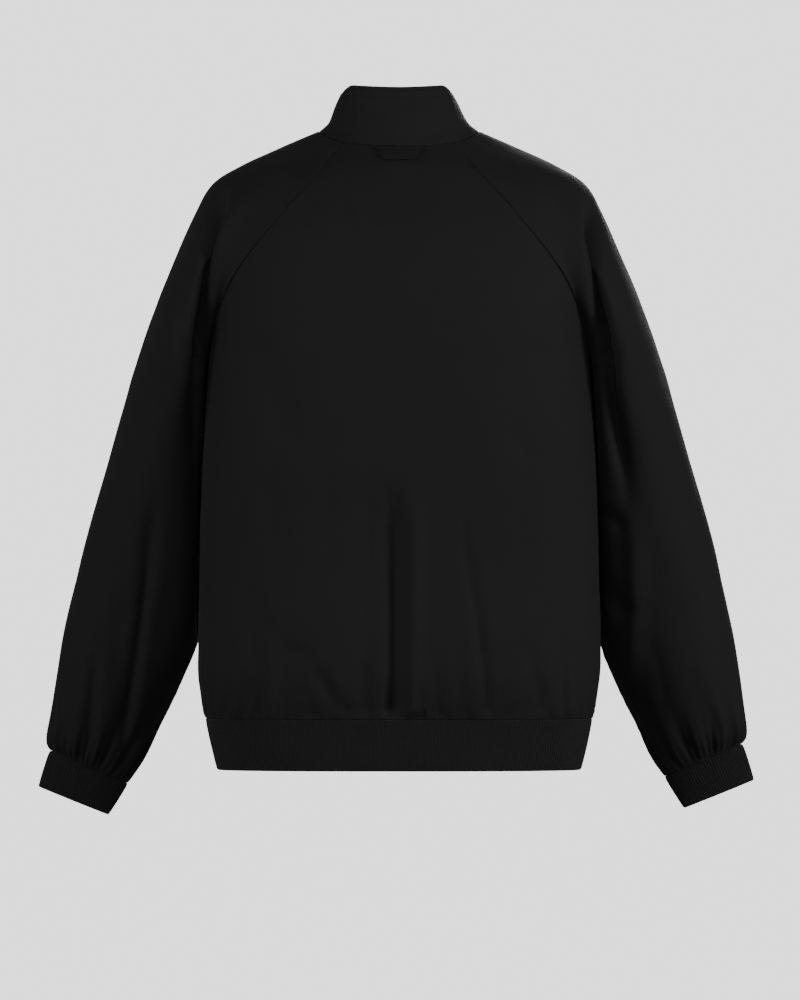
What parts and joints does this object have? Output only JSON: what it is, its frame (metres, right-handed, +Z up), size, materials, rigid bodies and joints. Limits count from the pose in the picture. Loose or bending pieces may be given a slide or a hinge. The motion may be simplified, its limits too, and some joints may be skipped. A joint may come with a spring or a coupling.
{
  "type": "harrington jacket",
  "caption": "Waist-length raglan-sleeve zip jacket with stand collar, ribbed hem and cuffs, filled out as if worn.",
  "frame": {"origin": "middle of the neck base, level with the back of the collar seam, where the wearer's neck and shoulders hold the jacket", "axes": "+X to the wearer's left, +Y to the back of the jacket, +Z up through the collar"},
  "size_m": [0.7582, 0.257, 0.768],
  "materials": {
    "cloth": "matt black woven shell cloth with a faint sheen",
    "rib_knit": "matt black rib knit",
    "tape": "matt black woven tape",
    "zip_metal": "dark oxidised zip metal"
  },
  "bodies": {
    "jacket": {"back": "cloth", "front_left": "cloth", "front_right": "cloth", "sleeve_left": "cloth", "sleeve_right": "cloth", "collar": "cloth", "pocket_welt_left": "cloth", "pocket_welt_right": "cloth", "hem_rib": "rib_knit", "cuff_left": "rib_knit", "cuff_right": "rib_knit", "hanger_loop": "tape", "zip_tape_left": "tape", "zip_tape_right": "tape", "zip_slider": "zip_metal"},
    "pull_tab": {"zip_pull": "zip_metal"}
  },
  "joints": [
    {"name": "pull_tab_swing", "type": "hinge", "parent": "jacket", "child": "pull_tab", "pos_m": [0, -0.08251, -0.009], "axis": [-1, 0, 0], "range_deg": [0, 150]}
  ]
}
